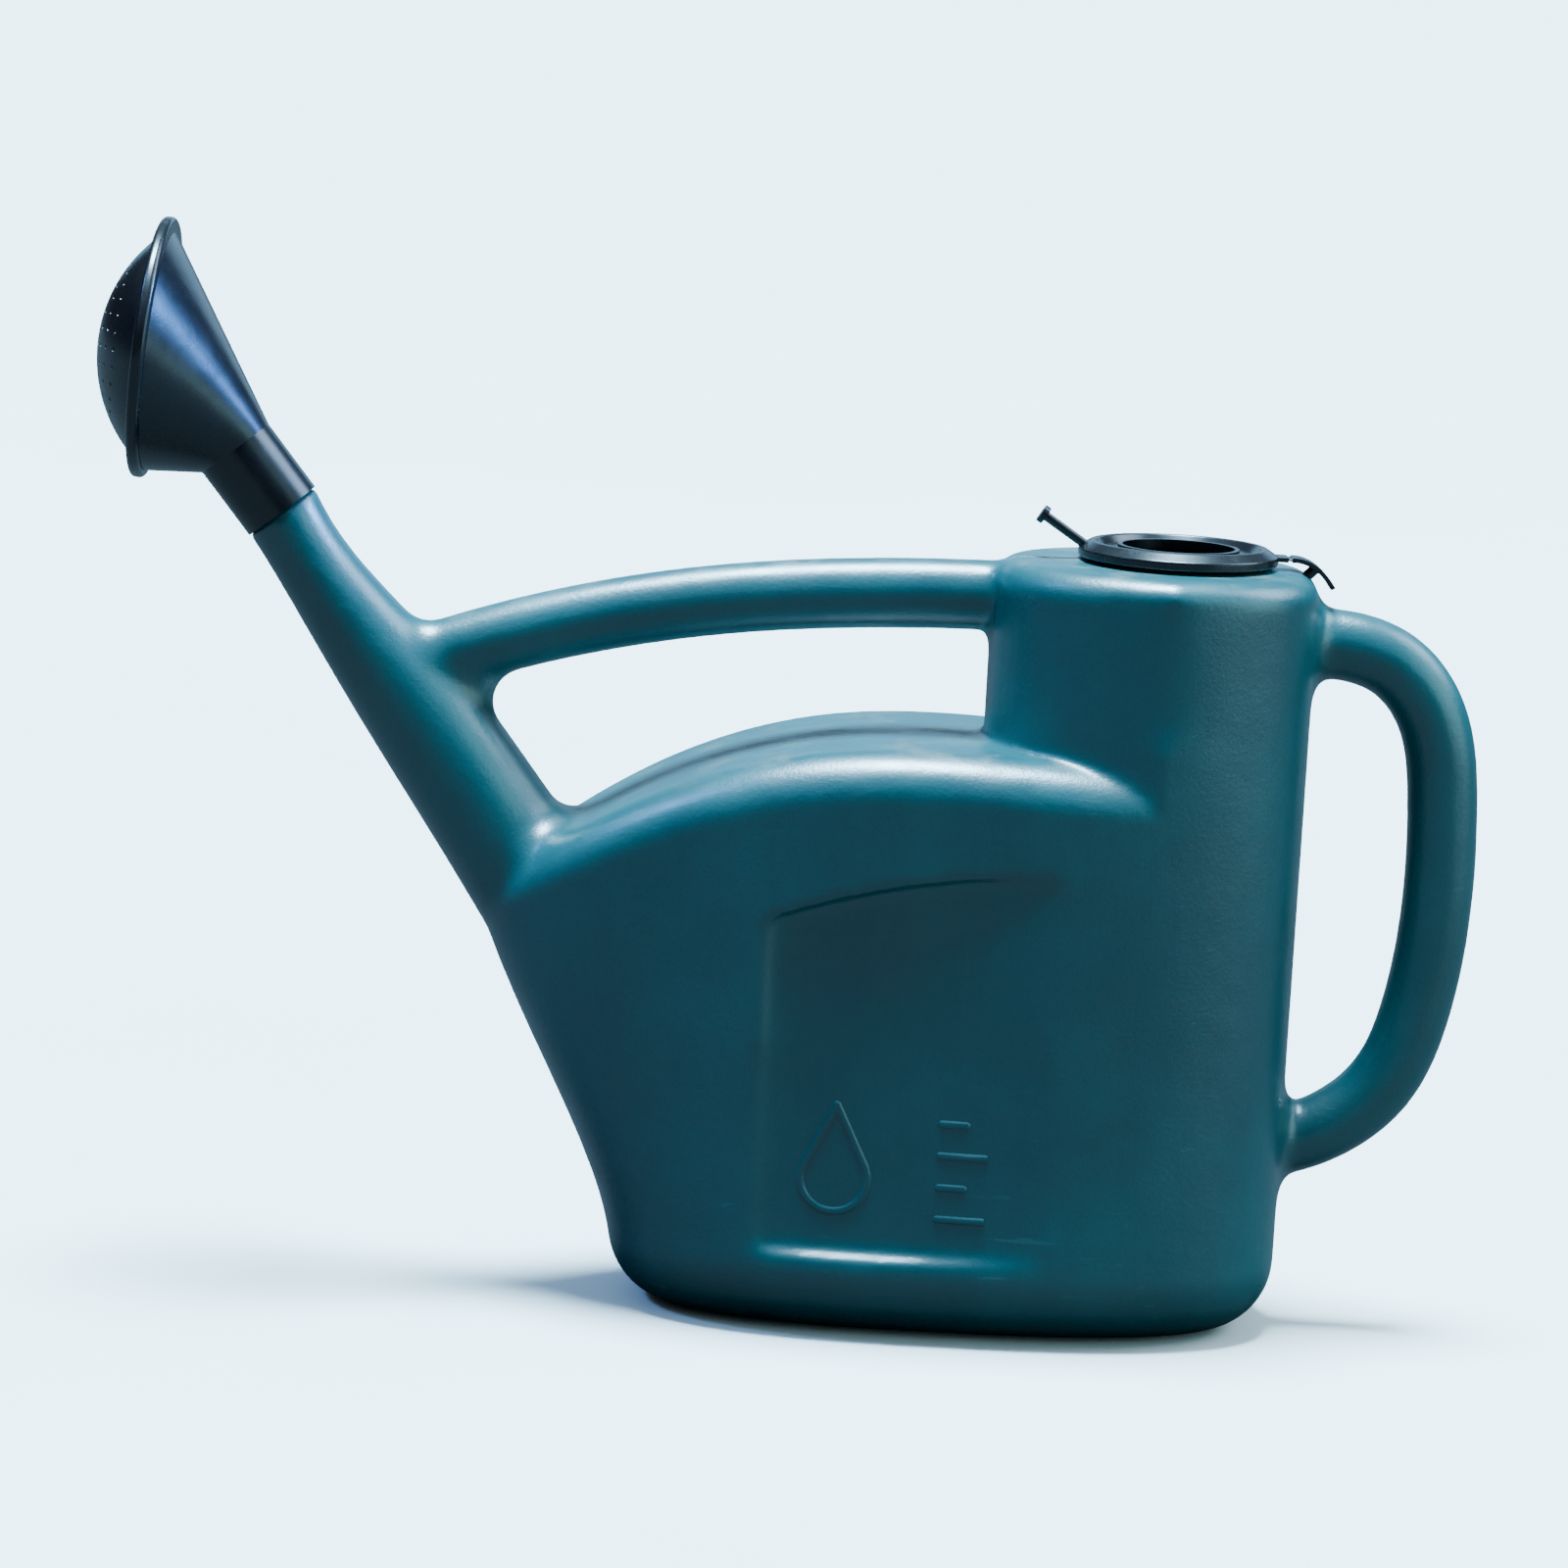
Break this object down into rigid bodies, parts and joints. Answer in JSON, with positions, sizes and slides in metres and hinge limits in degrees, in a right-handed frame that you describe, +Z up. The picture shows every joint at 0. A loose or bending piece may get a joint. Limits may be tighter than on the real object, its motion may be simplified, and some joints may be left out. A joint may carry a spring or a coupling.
{
  "type": "watering can",
  "caption": "Plastic watering can with an oval tank, round filler tower, carrying and pouring handles, long spout, flip-up splash ring and a push-on rose that turns.",
  "frame": {"origin": "centre of the tank's flat base, on the floor", "axes": "+Z up, -X towards the spout and rose, +X towards the rear handle, Y across the can"},
  "size_m": [0.6114, 0.151, 0.4646],
  "materials": {
    "can_plastic": "satin teal blow-moulded polyethylene",
    "black_plastic": "semi-gloss blue-black injection-moulded plastic",
    "seal_rubber": "matt black rubber"
  },
  "bodies": {
    "can": {"can_shell": "can_plastic", "ring_strap": "black_plastic"},
    "splash_ring": {"filler_ring": "black_plastic", "lift_peg": "black_plastic"},
    "seal": {"rose_seal": "seal_rubber"},
    "rose": {"rose_body": "black_plastic"},
    "face": {"rose_face": "black_plastic"}
  },
  "joints": [
    {"name": "filler_ring_hinge", "type": "hinge", "parent": "can", "child": "splash_ring", "pos_m": [0.134, 0, 0.3418], "axis": [0, 1, 0], "range_deg": [0, 85]},
    {"name": "rose_pull", "type": "slide", "parent": "can", "child": "seal", "axis": [-0.6293, 0, 0.7771], "range_m": [0, 0.045]},
    {"name": "rose_spin", "type": "hinge", "parent": "seal", "child": "rose", "pos_m": [-0.304, 0, 0.3395], "axis": [-0.6293, 0, 0.7771], "continuous": true},
    {"name": "rose_face_pull", "type": "slide", "parent": "rose", "child": "face", "axis": [-0.9963, 0, 0.0854], "range_m": [0, 0.03]}
  ]
}
